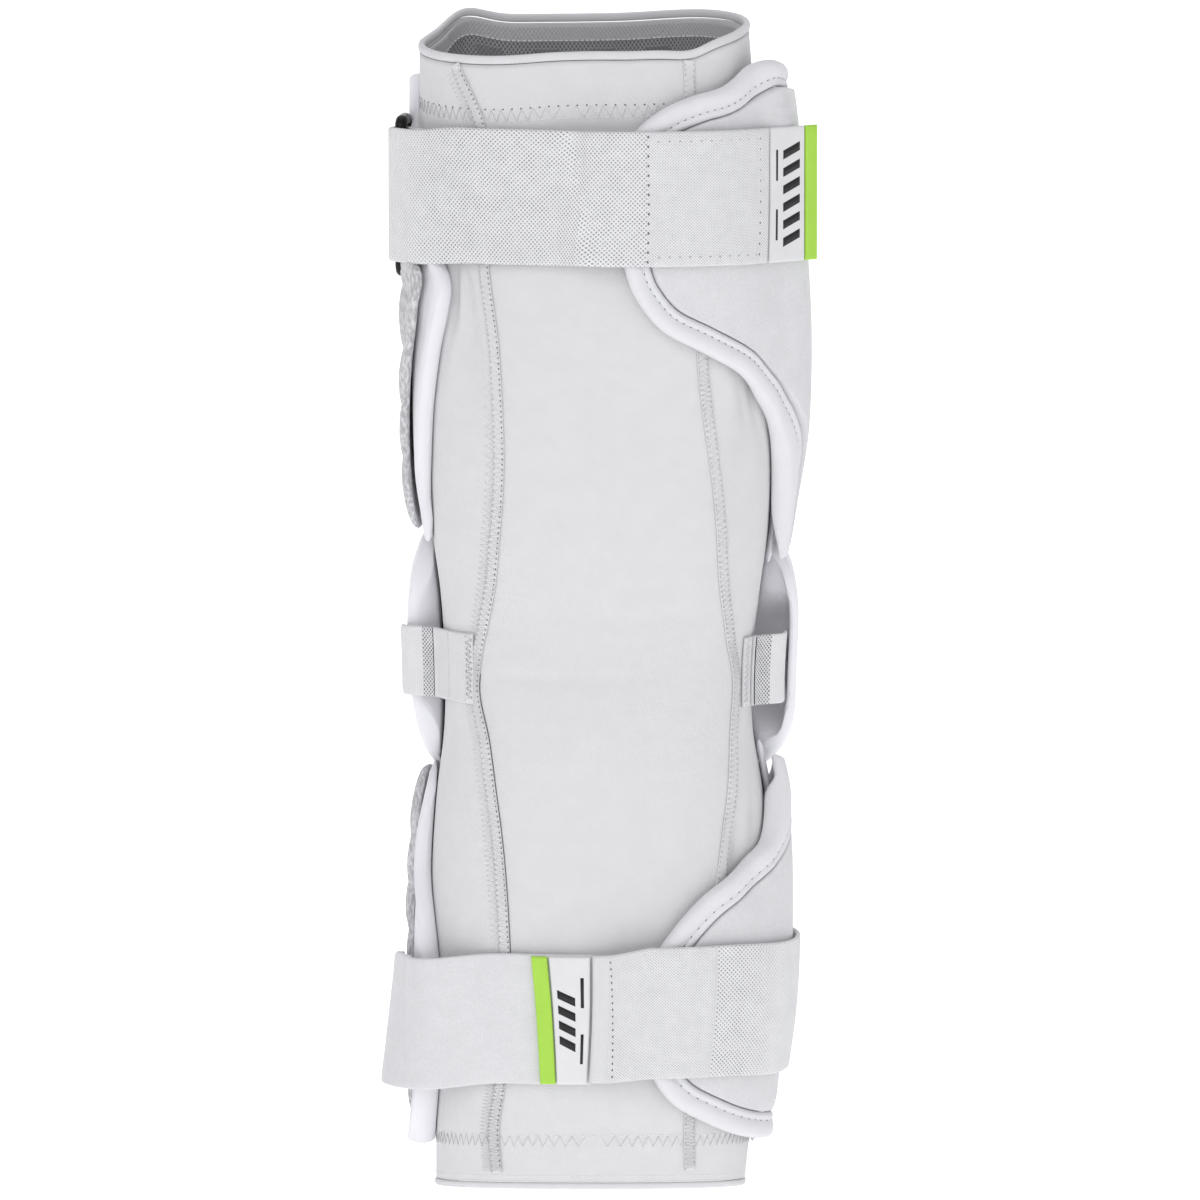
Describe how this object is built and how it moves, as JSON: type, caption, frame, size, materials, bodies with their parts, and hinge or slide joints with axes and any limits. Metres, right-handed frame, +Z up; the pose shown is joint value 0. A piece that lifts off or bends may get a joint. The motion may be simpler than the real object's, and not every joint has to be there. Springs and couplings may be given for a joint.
{
  "type": "lacrosse arm pad",
  "caption": "Padded sporting arm guard: knitted sleeve with wrapped foam pads, ribbed outer shells, moulded elbow cap, folded flaps and two elastic pull straps.",
  "frame": {"origin": "on the arm's axis at the height of the elbow, where the wearer's arm holds the pad", "axes": "+Z up the arm towards the shoulder, -Y out of the inner elbow, +X to the side of the two flaps"},
  "size_m": [0.154, 0.1107, 0.4271],
  "materials": {
    "knit": "white smooth stretch knit",
    "mesh": "mid-grey knitted mesh",
    "padding": "white brushed loop fabric over foam",
    "ribbed": "light grey ribbed foam, matt",
    "cap": "white moulded plastic, satin",
    "elastic": "white woven elastic webbing",
    "pull_tab": "very light grey smooth coated tab",
    "pull_tip": "lime green coated tip",
    "ring": "black moulded plastic, satin"
  },
  "bodies": {
    "root": {"sleeve": "knit", "cuff_binding": "knit", "hem_band": "knit", "cuff_lining": "mesh", "left_seam": "knit", "right_seam": "knit", "bicep_pad": "padding", "bicep_shell": "ribbed", "bicep_flap": "padding", "bicep_flap_binding": "knit", "elbow_pad": "padding", "elbow_cap": "cap", "forearm_pad": "padding", "forearm_shell": "ribbed", "forearm_flap": "padding", "forearm_flap_binding": "knit", "left_elbow_tab": "knit", "left_elbow_loop": "elastic", "right_elbow_tab": "knit", "right_elbow_loop": "elastic", "strap_ring": "ring", "ring_keeper": "elastic", "upper_strap": "elastic", "upper_pull_tab": "pull_tab", "upper_pull_tip": "pull_tip", "landing_panel": "padding", "lower_strap": "elastic", "lower_pull_tab": "pull_tab", "lower_pull_tip": "pull_tip"}
  },
  "joints": []
}
